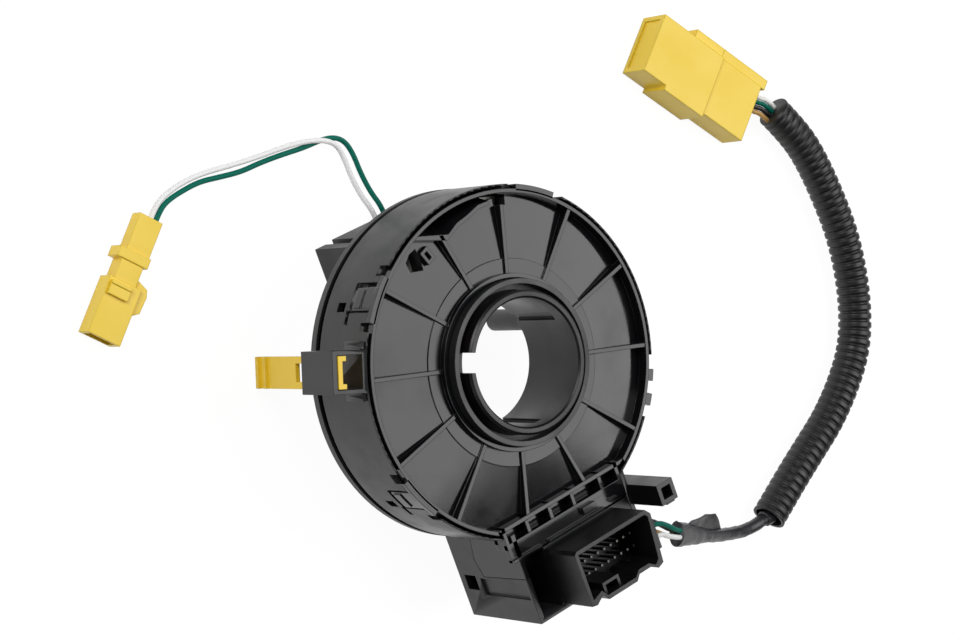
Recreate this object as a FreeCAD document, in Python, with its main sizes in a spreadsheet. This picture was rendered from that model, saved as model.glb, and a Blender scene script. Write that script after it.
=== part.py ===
"""Steering clock spring, in millimetres and degrees.

The origin is on the axis of the bore, level with the rim of the ribbed tray. +Z points towards the
steering column, -Z towards the steering wheel. The connectors lie towards -Y, their long side along X.
Angles in the plan are counted from +X towards +Y.
"""
import FreeCAD
import Part
import Sketcher
import math
import os
from FreeCAD import Vector

# Driving dimensions: every cell of the sheet, by its alias
DRIVING = {
    # drum and ribbed tray
    "rim_radius": 50.0,
    "rim_wall": 1.1,
    "tray_floor": 6.3,
    "tray_wall": 1.6,
    "collar_radius": 25.6,
    "collar_wall": 1.2,
    "collar_rise": 0.8,
    "step_radius": 29.8,
    "step_drop": 3.3,
    "rib_number": 12,
    "rib_first": 12.5,
    "rib_wall": 1.2,
    "rib_drop": 0.6,
    "flat_side": 42.0,
    "flat_wall": 1.2,
    # window beside the rim
    "window_start": 75.0,
    "window_sweep": 38.0,
    "window_inner": 46.0,
    "window_pinch": 41.0,
    # outer band
    "band_wall": 0.6,
    "band_gap": 0.8,
    "band_top": 0.4,
    "band_depth": 23.9,
    "band_skirt": 26.9,
    # snap tongues between tray and band
    "snap_bridge": 14.0,
    "snap_bridge_drop": 1.6,
    "snap_tongue": 7.6,
    "snap_tongue_drop": 10.5,
    "snap_play": 0.4,
    # loop bracket and clip
    "bracket_angle": 159.2,
    "bracket_width": 12.0,
    "bracket_reach": 62.3,
    "bracket_side": 1.2,
    "bracket_end": 1.5,
    "bracket_depth": 16.0,
    "pad_sweep": 18.4,
    "pad_rise": 1.2,
    "pad_top": 1.3,
    "pad_depth": 9.6,
    "clip_play": 0.25,
    "clip_wall": 1.4,
    "clip_hook": 1.2,
    "clip_top": 0.2,
    "clip_length": 44.0,
    "clip_ridge": 0.8,
    "clip_window": 5.2,
    # rotor
    "running_gap": 0.3,
    "disc_top": 27.3,
    "disc_wall": 1.2,
    "disc_lip": 26.1,
    "lip_wall": 0.9,
    "hub_radius": 35.0,
    "hub_wall": 2.0,
    "hub_top": 8.4,
    "web_top": 16.0,
    "web_wall": 2.0,
    "ring_rise": 3.8,
    "ring_wall": 1.5,
    "sleeve_groove": 0.6,
    "bore_radius": 18.5,
    "sleeve_wall": 2.3,
    "sleeve_rise": 6.2,
    "sleeve_fit": 0.1,
    "slot_angle": 157.0,
    "slot_width": 5.7,
    "keyway_width": 3.0,
    "keyway_depth": 0.8,
    "keyway_upper": 23.0,
    "keyway_lower": -90.6,
    "pin_radius": 3.3,
    "pin_circle": 28.8,
    "pin_first": 3.4,
    "pin_spread": 240.0,
    "rest_depth": 46.0,
    # rotor connector
    "tower_left": -22.6,
    "tower_split": -18.6,
    "tower_inner": -16.0,
    "tower_right": 9.0,
    "tower_near": 29.0,
    "tower_far": 46.5,
    "tower_base": 1.5,
    "tower_wall": 2.6,
    "tower_socket": 12.0,
    # cable chamber
    "sheet_wall": 0.4,
    "cable_outer": 44.8,
    "cable_inner": 38.5,
    "outer_terminal_angle": -78.0,
    "inner_terminal_angle": 30.0,
    "terminal_sweep": 18.0,
    # connector bay
    "bay_left": -21.7,
    "bay_right": 23.6,
    "bay_far": 73.2,
    "bay_near": 44.0,
    "bay_depth": 33.6,
    "bay_wall": 1.6,
    "shelf_left": -24.0,
    "shelf_right": 22.0,
    "shelf_far": 52.5,
    "pocket_far": 47.0,
    "pocket_floor": 4.0,
    "panel_top": 58.7,
    "panel_corner": 59.4,
    "panel_low": 22.5,
    "panel_side": 20.6,
    # connector insert
    "insert_left": -12.5,
    "insert_right": 21.9,
    "insert_near": 53.0,
    "insert_far": 71.5,
    "shroud_rise": 15.0,
    "shroud_left": 13.2,
    "shroud_right": 17.0,
    "shroud_near": 53.6,
    "shroud_far": 71.4,
    "shroud_wall": 1.3,
    "shroud_cavity": 13.0,
    "terminal_pitch": 2.6,
    "terminal_thick": 0.64,
    "terminal_rise": 6.5,
    # side connector and harness outlet
    "side_right": 30.0,
    "side_near": 50.0,
    "side_far": 56.5,
    "side_top": 13.0,
    "side_low": 10.0,
    "side_socket": 3.6,
    "outlet_near": 64.5,
    "outlet_far": 74.0,
    "outlet_top": 2.5,
    "outlet_low": 14.0,
    # cords
    "wire_radius": 0.8,
    "tape_radius": 2.6,
    "conduit_radius": 4.9,
    "conduit_tape_radius": 5.2,
    # airbag plug, in its own frame: along the plug, then across it
    "plug_place_x": -72.2,
    "plug_place_y": 75.7,
    "plug_turn": -136.8,
    "plug_thick": 6.0,
    "plug_rear": 11.0,
    "plug_collar": 14.0,
    "plug_waist": 20.0,
    "plug_length": 37.0,
    "plug_socket": 9.0,
    "plug_wall": 1.2,
    # yellow in-line connector, in its own frame
    "inline_place_x": 115.8,
    "inline_place_y": 60.7,
    "inline_turn": -49.4,
    "inline_thick": 11.0,
    "inline_width": 11.0,
    "inline_housing": 28.0,
    "inline_length": 47.0,
    "inline_rail": 3.4,
    "inline_rail_start": 15.0,
    "inline_wall": 1.6,
    "inline_socket": 16.0,
}

# Small play that keeps two touching curved faces of one body apart
SEAT = 0.1


class Size:
    """A size worked out from the sheet: its number, and the expression that gives it."""

    def __init__(self, number, text):
        self.number = number
        self.text = text

    def __add__(self, other):
        other = as_size(other)
        return Size(self.number + other.number, f"({self.text} + {other.text})")

    def __sub__(self, other):
        other = as_size(other)
        return Size(self.number - other.number, f"({self.text} - {other.text})")

    def __mul__(self, other):
        other = as_size(other)
        return Size(self.number * other.number, f"({self.text} * {other.text})")

    def __truediv__(self, other):
        other = as_size(other)
        return Size(self.number / other.number, f"({self.text} / {other.text})")

    def __neg__(self):
        return Size(-self.number, f"(0 - {self.text})")

    def __radd__(self, other):
        return as_size(other) + self

    def __rsub__(self, other):
        return as_size(other) - self

    def __rmul__(self, other):
        return as_size(other) * self


def as_size(value):
    return value if isinstance(value, Size) else Size(float(value), f"({float(value)!r})")


def cosine(angle):
    angle = as_size(angle)
    return Size(math.cos(math.radians(angle.number)), f"cos({angle.text} * 1 deg)")


def sine(angle):
    angle = as_size(angle)
    return Size(math.sin(math.radians(angle.number)), f"sin({angle.text} * 1 deg)")


class Sheet:
    """The driving dimensions, each read by its alias."""

    def __init__(self, document):
        cells = document.addObject("Spreadsheet::Sheet", "Sizes")
        for row, (alias, number) in enumerate(DRIVING.items(), start=1):
            cells.set(f"A{row}", alias)
            cells.set(f"B{row}", str(number))
            cells.setAlias(f"B{row}", alias)
            setattr(self, alias, Size(float(number), f"Sizes.{alias}"))
        document.recompute()


doc = FreeCAD.newDocument("ClockSpring")
size = Sheet(doc)
nodes = {}


# Helpers that make one bound feature each
def tie(item, name, value):
    item.setExpression(name, as_size(value).text)


def place(item, x=0, y=0, z=0, turn=0):
    """Set the item down at a point, turned about +Z."""
    for axis, value in (("x", x), ("y", y), ("z", z)):
        if as_size(value).number or isinstance(value, Size):
            tie(item, "Placement.Base." + axis, value)
    if as_size(turn).number or isinstance(turn, Size):
        tie(item, "Placement.Rotation.Angle", turn)
    return item


def box(x0, x1, y0, y1, z0, z1):
    item = doc.addObject("Part::Box", "Block")
    tie(item, "Length", as_size(x1) - x0)
    tie(item, "Width", as_size(y1) - y0)
    tie(item, "Height", as_size(z1) - z0)
    return place(item, x0, y0, z0)


def polar_box(turn, r0, r1, width, z0, z1):
    """A block that points outward at an angle of the plan, centred on that direction."""
    item = doc.addObject("Part::Box", "Spoke")
    half = as_size(width) / 2
    tie(item, "Length", as_size(r1) - r0)
    tie(item, "Width", width)
    tie(item, "Height", as_size(z1) - z0)
    x = as_size(r0) * cosine(turn) + half * sine(turn)
    y = as_size(r0) * sine(turn) - half * cosine(turn)
    return place(item, x, y, z0, turn)


def cylinder(radius, z0, z1, x=0, y=0, start=0, sweep=None):
    item = doc.addObject("Part::Cylinder", "Round")
    tie(item, "Radius", radius)
    tie(item, "Height", as_size(z1) - z0)
    if sweep is not None:
        tie(item, "Angle", sweep)
    return place(item, x, y, z0, start)


def fuse(items):
    item = doc.addObject("Part::MultiFuse", "Joined")
    item.Shapes = items
    item.Refine = True
    return item


def cut(base, tools):
    item = doc.addObject("Part::Cut", "Trimmed")
    item.Base = base
    item.Tool = tools[0] if len(tools) == 1 else fuse(tools)
    item.Refine = True
    return item


def common(one, other):
    item = doc.addObject("Part::MultiCommon", "Shared")
    item.Shapes = [one, other]
    return item


def ring(r_in, r_out, z0, z1, start=0, sweep=None):
    """A washer, or a sector of one."""
    return cut(cylinder(r_out, z0, z1, start=start, sweep=sweep), [cylinder(r_in, z0, z1)])


def outline(body, role, points):
    """A closed outline on one of the body's planes, each corner bound to its two sizes."""
    sketch = body.newObject("Sketcher::SketchObject", "Outline")
    plane = next(f for f in body.Origin.OriginFeatures if f.Role == role)
    sketch.AttachmentSupport = (plane, "")
    sketch.MapMode = "FlatFace"
    corners = [(as_size(a), as_size(b)) for a, b in points]
    spots = [Vector(a.number, b.number, 0) for a, b in corners]
    count = len(spots)
    lines = [Part.LineSegment(spots[i], spots[(i + 1) % count]) for i in range(count)]
    sketch.addGeometry(lines, False)
    sketch.addConstraint([Sketcher.Constraint("Coincident", i, 2, (i + 1) % count, 1) for i in range(count)])
    for i, corner in enumerate(corners):
        for kind, own_axis, value in (("DistanceX", -2, corner[0]), ("DistanceY", -1, corner[1])):
            if value.number:
                index = sketch.addConstraint(Sketcher.Constraint(kind, -1, 1, i, 1, value.number))
                sketch.setExpression(f"Constraints[{index}]", value.text)
            else:
                sketch.addConstraint(Sketcher.Constraint("PointOnObject", i, 1, own_axis))
    return sketch


def lathe(points):
    """A turned piece: its outline in radius and height, revolved about the bore's axis."""
    body = doc.addObject("PartDesign::Body", "Turned")
    sketch = outline(body, "XZ_Plane", points)
    turned = body.newObject("PartDesign::Revolution", "Turn")
    turned.Profile = sketch
    turned.ReferenceAxis = (sketch, ["V_Axis"])
    turned.Angle = 360.0
    return body


def prism(points, z0, z1, role="XY_Plane"):
    """A straight piece: its outline in the plan, or seen along X, raised between two levels."""
    body = doc.addObject("PartDesign::Body", "Straight")
    sketch = outline(body, role, points)
    pad = body.newObject("PartDesign::Pad", "Raise")
    pad.Profile = sketch
    tie(pad, "Length", as_size(z1) - z0)
    axis = "z" if role == "XY_Plane" else "x"
    return place(body, **{axis: z0})


def node(name, item):
    item.Label = name
    nodes[name] = item
    return item


# Levels and radii that several pieces share
tray_under = size.tray_floor + size.tray_wall
band_outer = size.rim_radius + size.band_gap + size.band_wall
chamber_radius = size.rim_radius - size.rim_wall - 0.5
rotor_sleeve = size.collar_radius - size.collar_wall - size.running_gap
sleeve_outer = size.bore_radius + size.sleeve_wall
disc_radius = band_outer + SEAT
disc_under = size.disc_top + size.disc_wall
rotor_clear = disc_radius + size.running_gap
shelf_under = size.pocket_floor + size.tray_wall
snap_angles = (135.0, -154.5, 58.5, -31.6)


def window_tool(z0, z1):
    """The curved opening between the rim and the wall that follows the cable."""
    start = size.window_start
    end = size.window_start + size.window_sweep
    rim = size.rim_radius - size.rim_wall
    outer = cylinder(rim, z0, z1, start=start, sweep=size.window_sweep)
    pinch = [
        (0, 0),
        (size.window_inner * cosine(start - 1), size.window_inner * sine(start - 1)),
        (size.window_inner * cosine(start + 6), size.window_inner * sine(start + 6)),
        ((size.window_inner - 1) * cosine(88.5), (size.window_inner - 1) * sine(88.5)),
        ((size.window_inner - 2.2) * cosine(97), (size.window_inner - 2.2) * sine(97)),
        (size.window_pinch * cosine(104), size.window_pinch * sine(104)),
        (size.window_pinch * cosine(end + 1), size.window_pinch * sine(end + 1)),
    ]
    return cut(outer, [prism(pinch, z0, z1)])


def stator_tray():
    floor = -size.tray_floor
    under = -tray_under
    step = -size.step_drop
    collar_in = size.collar_radius - size.collar_wall
    step_in = size.step_radius - size.tray_wall
    rim_in = size.rim_radius - size.rim_wall
    dish = lathe([
        (collar_in, size.collar_rise), (size.collar_radius, size.collar_rise),
        (size.collar_radius, step), (size.step_radius, step), (size.step_radius, floor),
        (rim_in, floor), (rim_in, 0), (size.rim_radius, 0), (size.rim_radius, under),
        (step_in, under), (step_in, step - size.tray_wall), (collar_in, step - size.tray_wall),
    ])
    pieces = [dish]
    for number in range(int(size.rib_number.number)):
        angle = size.rib_first + 360.0 / size.rib_number.number * number
        inner = size.collar_radius - size.collar_wall / 2
        pieces.append(polar_box(angle, inner, rim_in + SEAT, size.rib_wall, floor - SEAT, -size.rib_drop))
    flat_out = size.flat_side + size.flat_wall
    trimmed = cut(fuse(pieces), [box(-60, 60, -60, -flat_out, -60, 20)])
    wall = box(size.shelf_left - 1.2, size.shelf_right + 3.2, -flat_out, -size.flat_side, under, 0)
    round_rim = cylinder(size.rim_radius, under, 0)
    tray = [trimmed, common(wall, round_rim)]
    tray.append(shelf())
    for angle in snap_angles:
        start = as_size(angle) - size.snap_bridge / 2
        tray.append(ring(size.rim_radius - 0.5, band_outer, -size.snap_bridge_drop, 0, start, size.snap_bridge))
        start = as_size(angle) - size.snap_tongue / 2
        tongue_in = size.rim_radius + size.band_gap / 2
        tray.append(ring(tongue_in, band_outer, -size.snap_tongue_drop, 0, start, size.snap_tongue))
    whole = fuse(tray + [window_wall()])
    return cut(whole, [window_tool(under - 1, 1)])


def window_wall():
    """The low wall that edges the window on the cable side."""
    top = -size.rib_drop
    pts_out = window_edge(0)
    pts_in = window_edge(-size.rib_wall)
    return prism(pts_out + pts_in[::-1], -size.tray_floor - SEAT, top)


def window_edge(shift):
    start = size.window_start
    places = ((size.window_inner, start - 2), (size.window_inner, start + 6), (size.window_inner - 1, 88.5),
              (size.window_inner - 2.2, 97), (size.window_pinch, 104))
    return [((radius + shift) * cosine(angle), (radius + shift) * sine(angle)) for radius, angle in places]


def shelf():
    """The shelf over the connector bay, with its row of pockets and the panel that hangs beside it."""
    back = -(size.flat_side + size.flat_wall)
    pocket = -size.pocket_far
    deep = -shelf_under
    plate = box(size.shelf_left, size.shelf_right, -size.shelf_far, back, -size.tray_wall, 0)
    trough = box(size.shelf_left, size.shelf_right, pocket - size.tray_wall, back + SEAT, deep, -SEAT)
    hollow = box(size.shelf_left + 1.2, size.shelf_right - 1.2, pocket, back, deep + size.tray_wall, 1)
    parts = [cut(fuse([plate, trough]), [hollow])]
    for place_x in (-15.1, -5.9, 2.0, 12.5):
        parts.append(box(place_x - 0.6, place_x + 0.6, pocket - SEAT, back + SEAT, deep + SEAT, -size.rib_drop))
    parts.append(box(4.3, 8.2, -50.9, -46.8, -size.tray_wall, 1.4))
    parts.append(box(-10, 12, -size.shelf_far, -size.shelf_far + 0.8, -size.tray_wall, 1.0))
    parts.append(box(size.shelf_left, -13, -size.shelf_far, -size.shelf_far + 0.8, -size.tray_wall, 1.0))
    panel = prism(panel_points(0), size.bay_left, size.bay_left + size.bay_wall - SEAT, "YZ_Plane")
    low = -size.panel_low - 1
    ring_out = cylinder(band_outer + size.running_gap, low, deep + SEAT)
    parts.append(cut(panel, [ring_out]))
    return fuse(parts)


def panel_points(grow):
    """The hanging panel's outline seen along X, wider by the given play."""
    near = -(size.bay_near + 1)
    return [
        (near, 0), (near - 0.8, -size.panel_side - grow), (-54.1, -size.panel_low - grow),
        (-size.panel_corner - grow, -size.panel_side - grow), (-size.panel_top - grow, 0),
    ]


def stator_band():
    top = -size.band_top
    low = -size.band_depth
    skirt = -size.band_skirt
    thin_in = band_outer - size.band_wall
    wall_in = size.rim_radius + 0.2
    bore = size.rim_radius - 1.6
    mid = size.rim_radius - 0.4
    under = -tray_under
    hoop = lathe([
        (thin_in, top), (band_outer, top), (band_outer, low), (mid, low), (mid, skirt), (bore, skirt),
        (bore, skirt + 4.2), (mid, skirt + 5.4), (mid, under - 1.5), (bore, under - 1.5), (bore, under),
        (wall_in, under), (wall_in, -3.2), (thin_in, -3.2),
    ])
    trims = []
    for angle in snap_angles:
        width = size.snap_bridge + size.snap_play
        floor = -size.snap_bridge_drop - size.snap_play / 2
        trims.append(ring(48, 53, floor, 1, as_size(angle) - width / 2, width))
        width = size.snap_tongue + size.snap_play * 2
        floor = -size.snap_tongue_drop - 1.5
        trims.append(ring(size.rim_radius + 0.2, 53, floor, 1, as_size(angle) - width / 2, width))
    trims.append(box(size.shelf_left - 0.4, size.shelf_right + 0.4, -60, -40, -shelf_under - size.running_gap, 1))
    hoop = cut(hoop, trims)
    return cut(fuse([hoop, loop_bracket(), bay()]), [bay_trim()])


def loop_bracket():
    angle = size.bracket_angle
    outer = size.bracket_reach
    frame = polar_box(angle, band_outer - 0.4, outer, size.bracket_width, -size.bracket_depth, 0)
    width = size.bracket_width - size.bracket_side * 2
    hole = polar_box(angle, band_outer + 1.2, outer - size.bracket_end, width, -size.bracket_depth - 1, 1)
    start = angle - size.pad_sweep / 2
    pad = ring(band_outer - 0.3, band_outer + size.pad_rise, -size.pad_depth, -size.pad_top, start, size.pad_sweep)
    return cut(fuse([frame, pad]), [hole])


def bay():
    """The open box beside the drum that holds the connector insert."""
    outer = box(size.bay_left, size.bay_right, -size.bay_far, -size.bay_near, -size.bay_depth, 0)
    inner = box(size.bay_left + size.bay_wall, size.bay_right - size.bay_wall,
                -size.bay_far + size.bay_wall, 0, -size.bay_depth + size.bay_wall, 1)
    curb = cylinder(rotor_clear + size.bay_wall, -size.bay_depth, -size.band_depth + size.bay_wall)
    curb_part = common(curb, box(size.bay_left, size.bay_right, -60, -40, -40, 0))
    walls = fuse([cut(outer, [inner]), curb_part])
    above = cylinder(band_outer - 0.4, -size.band_depth, 1)
    below = cylinder(rotor_clear, -size.bay_depth - 1, -size.band_depth)
    return cut(walls, [above, below])


def bay_trim():
    """What is cut from the bay's side for the hanging panel and for the shelf."""
    panel = prism(panel_points(0.25), size.bay_left - 1, size.bay_left + size.bay_wall, "YZ_Plane")
    ring_out = cylinder(band_outer, -size.panel_low - 4, -shelf_under - size.running_gap)
    shelf_gap = box(size.shelf_left - 0.4, size.shelf_right + 0.2, -size.shelf_far - 0.2, -40,
                    -size.tray_wall - SEAT, 1)
    trough = box(size.shelf_left - 0.4, size.shelf_right + 0.2, -size.pocket_far - size.tray_wall - 0.2, -40,
                 -shelf_under - size.running_gap, 1)
    return fuse([cut(panel, [ring_out]), shelf_gap, trough])


def connector_block():
    """The insert in the bay, with the large shroud that opens towards the column."""
    base_z = -size.bay_depth + size.bay_wall
    body = box(size.insert_left, size.insert_right, -size.insert_far, -size.insert_near, base_z, 0)
    clear = cylinder(rotor_clear + size.bay_wall + SEAT, base_z - 1, -size.band_depth + size.bay_wall + SEAT)
    body = cut(body, [clear])
    wall = size.shroud_wall
    left, right = -size.shroud_left, size.shroud_right
    near, far = -size.shroud_near, -size.shroud_far
    rise = size.shroud_rise
    shroud = prism([
        (left, near - 1), (left + 1, near), (right - 1.6, near), (right, near - 1.8), (right - 1.2, far + 0.8),
        (right - 3.4, far), (right - 6, far + 1.6), (left + 19.5, far + 1.6), (left + 18, far),
        (left + 6.6, far), (left + 5, far + 2.2), (left + 2, far + 0.4), (left, far + 0.8),
    ], -SEAT, rise)
    floor = rise - size.shroud_cavity
    cavity = prism([
        (left + wall, near - wall), (right - wall - 1, near - wall), (right - wall, near - wall - 1),
        (right - wall - 1.2, far + wall + 1.2), (right - 4, far + wall), (right - 6.4, far + wall + 1.6),
        (left + 19.8, far + wall + 1.6), (left + 18, far + wall), (left + 6.6, far + wall),
        (left + 5, far + wall + 2.2), (left + wall, far + wall + 1),
    ], floor, rise + 1)
    key = box(left + 7.2, left + 13.7, far + wall - SEAT, far + wall + 3.2, floor - SEAT, rise - 2)
    key_hollow = box(left + 8.2, left + 12.7, far + wall, far + wall + 2.2, floor, rise)
    return cut(fuse([body, cut(shroud, [cavity]), key]), [key_hollow])


def main_terminals():
    floor = size.shroud_rise - size.shroud_cavity
    half = size.terminal_thick / 2
    pins = []
    middle = (size.shroud_right - size.shroud_left) / 2
    for row_y in (-60.0, -64.0):
        for column in range(-4, 5):
            x = middle + size.terminal_pitch * column
            pins.append(box(x - half, x + half, row_y - half, row_y + half, floor, floor + size.terminal_rise))
    return fuse(pins)


def side_connector():
    left = size.bay_right
    body = box(left, size.side_right, -size.side_far, -size.side_near, -size.side_low, size.side_top)
    middle_x = (left + size.side_right) / 2
    middle_y = -(size.side_near + size.side_far) / 2
    half = size.side_socket / 2
    top = size.side_top
    socket = box(middle_x - half, middle_x + half, middle_y - half, middle_y + half, top - 8, top + 1)
    far = -size.side_far
    hook = box(size.side_right - 2.4, size.side_right + 0.8, far - 1.6, far + SEAT, top - 7, top - 3)
    return cut(fuse([body, hook]), [socket])


def side_terminals():
    middle_x = (size.bay_right + size.side_right) / 2
    middle_y = -(size.side_near + size.side_far) / 2
    half = size.terminal_thick / 2
    floor = size.side_top - 8
    pins = []
    for shift in (-0.9, 0.9):
        x = middle_x + shift
        pins.append(box(x - half, x + half, middle_y - half, middle_y + half, floor, floor + 5))
    return fuse(pins)


def harness_outlet():
    left = size.bay_right
    return box(left, size.side_right, -size.outlet_far, -size.outlet_near, -size.outlet_low, -size.outlet_top)


def lock_clip():
    """The yellow clip: a channel with hooks at its edges, held in the loop of the bracket."""
    angle = size.bracket_angle
    outer = size.bracket_reach - size.bracket_end - size.clip_play
    inner = outer - size.clip_wall
    width = size.bracket_width - size.bracket_side * 2 - size.clip_play * 2
    top = size.clip_top
    low = -size.clip_length
    plate = polar_box(angle, inner, outer, width, low, top)
    hollow_width = width - size.clip_wall * 2
    channel = polar_box(angle, inner - size.clip_hook, inner + SEAT, width, low, top)
    hollow = polar_box(angle, inner - size.clip_hook - 1, inner, hollow_width, low - 1, top + 1)
    pieces = [plate, cut(channel, [hollow])]
    for from_end in (2.0, 6.0):
        near = low + from_end
        pieces.append(polar_box(angle, outer - SEAT, outer + size.clip_ridge, width, near, near + 0.8))
    window = polar_box(angle, inner - 1, outer + 1, size.clip_window, -22, -18)
    return cut(fuse(pieces), [window])


def slip_sheet(z0, r_in, r_out):
    return ring(r_in, r_out, z0, z0 + size.sheet_wall)


def slip_sheet_upper():
    sheet = slip_sheet(-tray_under - size.sheet_wall, size.hub_radius + 1, chamber_radius - 0.3)
    return cut(sheet, [window_tool(-tray_under - 2, -tray_under + 1)])


def slip_sheet_lower():
    return slip_sheet(-size.disc_top, size.hub_radius + SEAT, chamber_radius - 0.4)


def flat_cable():
    """The rolled flat cable, one solid, with a short tail at each end of the roll."""
    low = -(size.disc_top - size.sheet_wall - size.running_gap)
    top = -(tray_under + size.sheet_wall + size.running_gap)
    roll = ring(size.cable_inner, size.cable_outer, low, top)
    outer_tail = ring(size.cable_outer - 0.2, size.cable_outer + 0.4, low, top,
                      size.outer_terminal_angle, size.terminal_sweep)
    inner_tail = ring(size.cable_inner - 0.4, size.cable_inner + 0.2, low, top,
                      size.inner_terminal_angle, size.terminal_sweep)
    return fuse([roll, outer_tail, inner_tail])


def outer_cable_terminal():
    inner = size.cable_outer + 0.4
    outer = chamber_radius - SEAT
    return ring(inner, outer, -22.0, -10.5, size.outer_terminal_angle, size.terminal_sweep)


def inner_cable_terminal():
    inner = size.hub_radius + SEAT
    return ring(inner, size.cable_inner - 0.4, -25.5, -10.5, size.inner_terminal_angle, size.terminal_sweep)


def rotor_body():
    web = -size.web_top
    under = web - size.web_wall
    sleeve_in = sleeve_outer + size.sleeve_fit
    ring_in = rotor_sleeve - size.ring_wall
    hub_in = size.hub_radius - size.hub_wall
    turned = lathe([
        (sleeve_in, under), (hub_in, under), (hub_in, -disc_under), (disc_radius, -disc_under),
        (disc_radius, -size.disc_lip), (disc_radius - size.lip_wall, -size.disc_lip),
        (disc_radius - size.lip_wall, -size.disc_top), (size.hub_radius, -size.disc_top),
        (size.hub_radius, -size.hub_top), (hub_in, -size.hub_top), (hub_in, web), (rotor_sleeve, web),
        (rotor_sleeve, size.ring_rise), (ring_in, size.ring_rise), (ring_in, -size.sleeve_groove),
        (sleeve_in, -size.sleeve_groove),
    ])
    pieces = [turned]
    dome = size.pin_radius / 3
    for angle in (size.pin_first, size.pin_first + size.pin_spread):
        x = size.pin_circle * cosine(angle)
        y = size.pin_circle * sine(angle)
        pieces.append(cylinder(size.pin_radius, -size.rest_depth + dome, under + SEAT, x, y))
        tip = doc.addObject("Part::Cone", "Tip")
        tie(tip, "Radius1", size.pin_radius - dome)
        tie(tip, "Radius2", size.pin_radius)
        tie(tip, "Height", dome)
        pieces.append(place(tip, x, y, -size.rest_depth))
    return fuse(pieces)


def cancel_sleeve():
    low = -(size.web_top + size.web_wall)
    sleeve = lathe([
        (size.bore_radius, low), (sleeve_outer, low), (sleeve_outer, size.sleeve_rise - 0.6),
        (sleeve_outer - 0.6, size.sleeve_rise), (size.bore_radius + 0.5, size.sleeve_rise),
        (size.bore_radius, size.sleeve_rise - 0.5),
    ])
    reach = sleeve_outer + 2
    tools = [polar_box(size.slot_angle, 10, reach, size.slot_width, -size.sleeve_groove, size.sleeve_rise + 1)]
    for angle in (size.keyway_upper, size.keyway_lower):
        tools.append(polar_box(angle, 10, size.bore_radius + size.keyway_depth, size.keyway_width, low - 1, 1))
    return cut(sleeve, tools)


def rotor_connector_block():
    top = -disc_under
    low = -size.rest_depth
    base = box(size.tower_left, size.tower_right, size.tower_near, size.tower_far - 0.5, top - size.tower_base, top)
    one = box(size.tower_left, size.tower_split, size.tower_near + 1, size.tower_far - 0.5, low, top)
    two = box(size.tower_inner, size.tower_right, size.tower_near, size.tower_far, low, top)
    wall = size.tower_wall
    socket = box(size.tower_inner + wall, size.tower_right - wall, size.tower_near + wall,
                 size.tower_far - wall, low - 1, low + size.tower_socket)
    return cut(fuse([base, one, two]), [socket])


def rotor_terminals():
    floor = -size.rest_depth + size.tower_socket
    middle_x = (size.tower_inner + size.tower_right) / 2
    middle_y = (size.tower_near + size.tower_far) / 2
    half = size.terminal_thick / 2
    pins = []
    for row in (-1.6, 1.6):
        for column in range(-3, 4):
            x = middle_x + size.terminal_pitch * column
            y = middle_y + row
            pins.append(box(x - half, x + half, y - half, y + half, floor - size.terminal_rise, floor))
    return fuse(pins)


# The airbag plug and the in-line connector are made along +X and set down turned
def set_down(item, kind):
    if kind == "plug":
        return place(item, size.plug_place_x, size.plug_place_y, -size.rest_depth, size.plug_turn)
    return place(item, size.inline_place_x, size.inline_place_y, -size.rest_depth, size.inline_turn)


def airbag_plug():
    thick = size.plug_thick
    rear = prism([(0, -3.0), (size.plug_rear, -3.0), (size.plug_rear, 4.6), (0, 4.6)], 0.5, thick - 1)
    collar = box(size.plug_rear, size.plug_collar, -5.2, 4.8, 0, thick)
    waist = box(size.plug_collar, size.plug_waist, -3.5, 3.7, 0.4, thick - 0.4)
    front = prism([
        (size.plug_waist, -5.0), (size.plug_length, -5.0), (size.plug_length, 5.5), (size.plug_waist, 5.5),
    ], 0, thick)
    lever = prism([(17.5, 3.6), (19, 7.6), (21, 8.3), (26, 8.0), (28, 5.4), (25, 5.4)], 0.8, thick - 1.2)
    wall = size.plug_wall
    socket = box(size.plug_length - size.plug_socket, size.plug_length + 1, -5 + wall, 5.5 - wall,
                 wall * 0.7, thick - wall * 0.7)
    return set_down(cut(fuse([rear, collar, waist, front, lever]), [socket]), "plug")


def plug_retainer():
    """The small lock plate that lies on the plug's front housing."""
    thick = size.plug_thick
    plate = box(size.plug_waist + 1, size.plug_waist + 5, -4.2, 2.4, thick, thick + 0.9)
    lip = box(size.plug_waist + 1, size.plug_waist + 2, -4.2, 2.4, thick, thick + 1.2)
    return set_down(fuse([plate, lip]), "plug")


def plug_terminals():
    floor = size.plug_length - size.plug_socket
    middle = size.plug_thick / 2
    half = size.terminal_thick / 2
    pins = [box(floor, floor + 5.5, y - 0.5, y + 0.5, middle - half, middle + half) for y in (-1.6, 2.1)]
    return set_down(fuse(pins), "plug")


def inline_connector():
    thick = size.inline_thick
    width = size.inline_width
    shell = prism([
        (0, -width + 1.4), (10, -width + 1.4), (10, -width - 0.2), (size.inline_housing, -width - 0.2),
        (size.inline_housing, width), (0, width),
    ], 0, thick)
    wall = size.inline_wall
    socket = box(-1, size.inline_socket, -width + 1.4 + wall, width - wall, wall, thick - wall)
    rail = box(size.inline_rail_start, size.inline_housing, width - SEAT, width + size.inline_rail, 0.6, thick - 1.4)
    return set_down(cut(fuse([shell, rail]), [socket]), "inline")


def inline_retainer():
    """The rear half of the in-line connector, one step lower, with its rail."""
    thick = size.inline_thick
    width = size.inline_width
    rear = box(size.inline_housing, size.inline_length, -width + 1.5, width, 0.6, thick - 0.9)
    rail = box(size.inline_housing, size.inline_length + 2, width - SEAT, width + size.inline_rail, 0.6, thick - 1.4)
    return set_down(fuse([rear, rail]), "inline")


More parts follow.
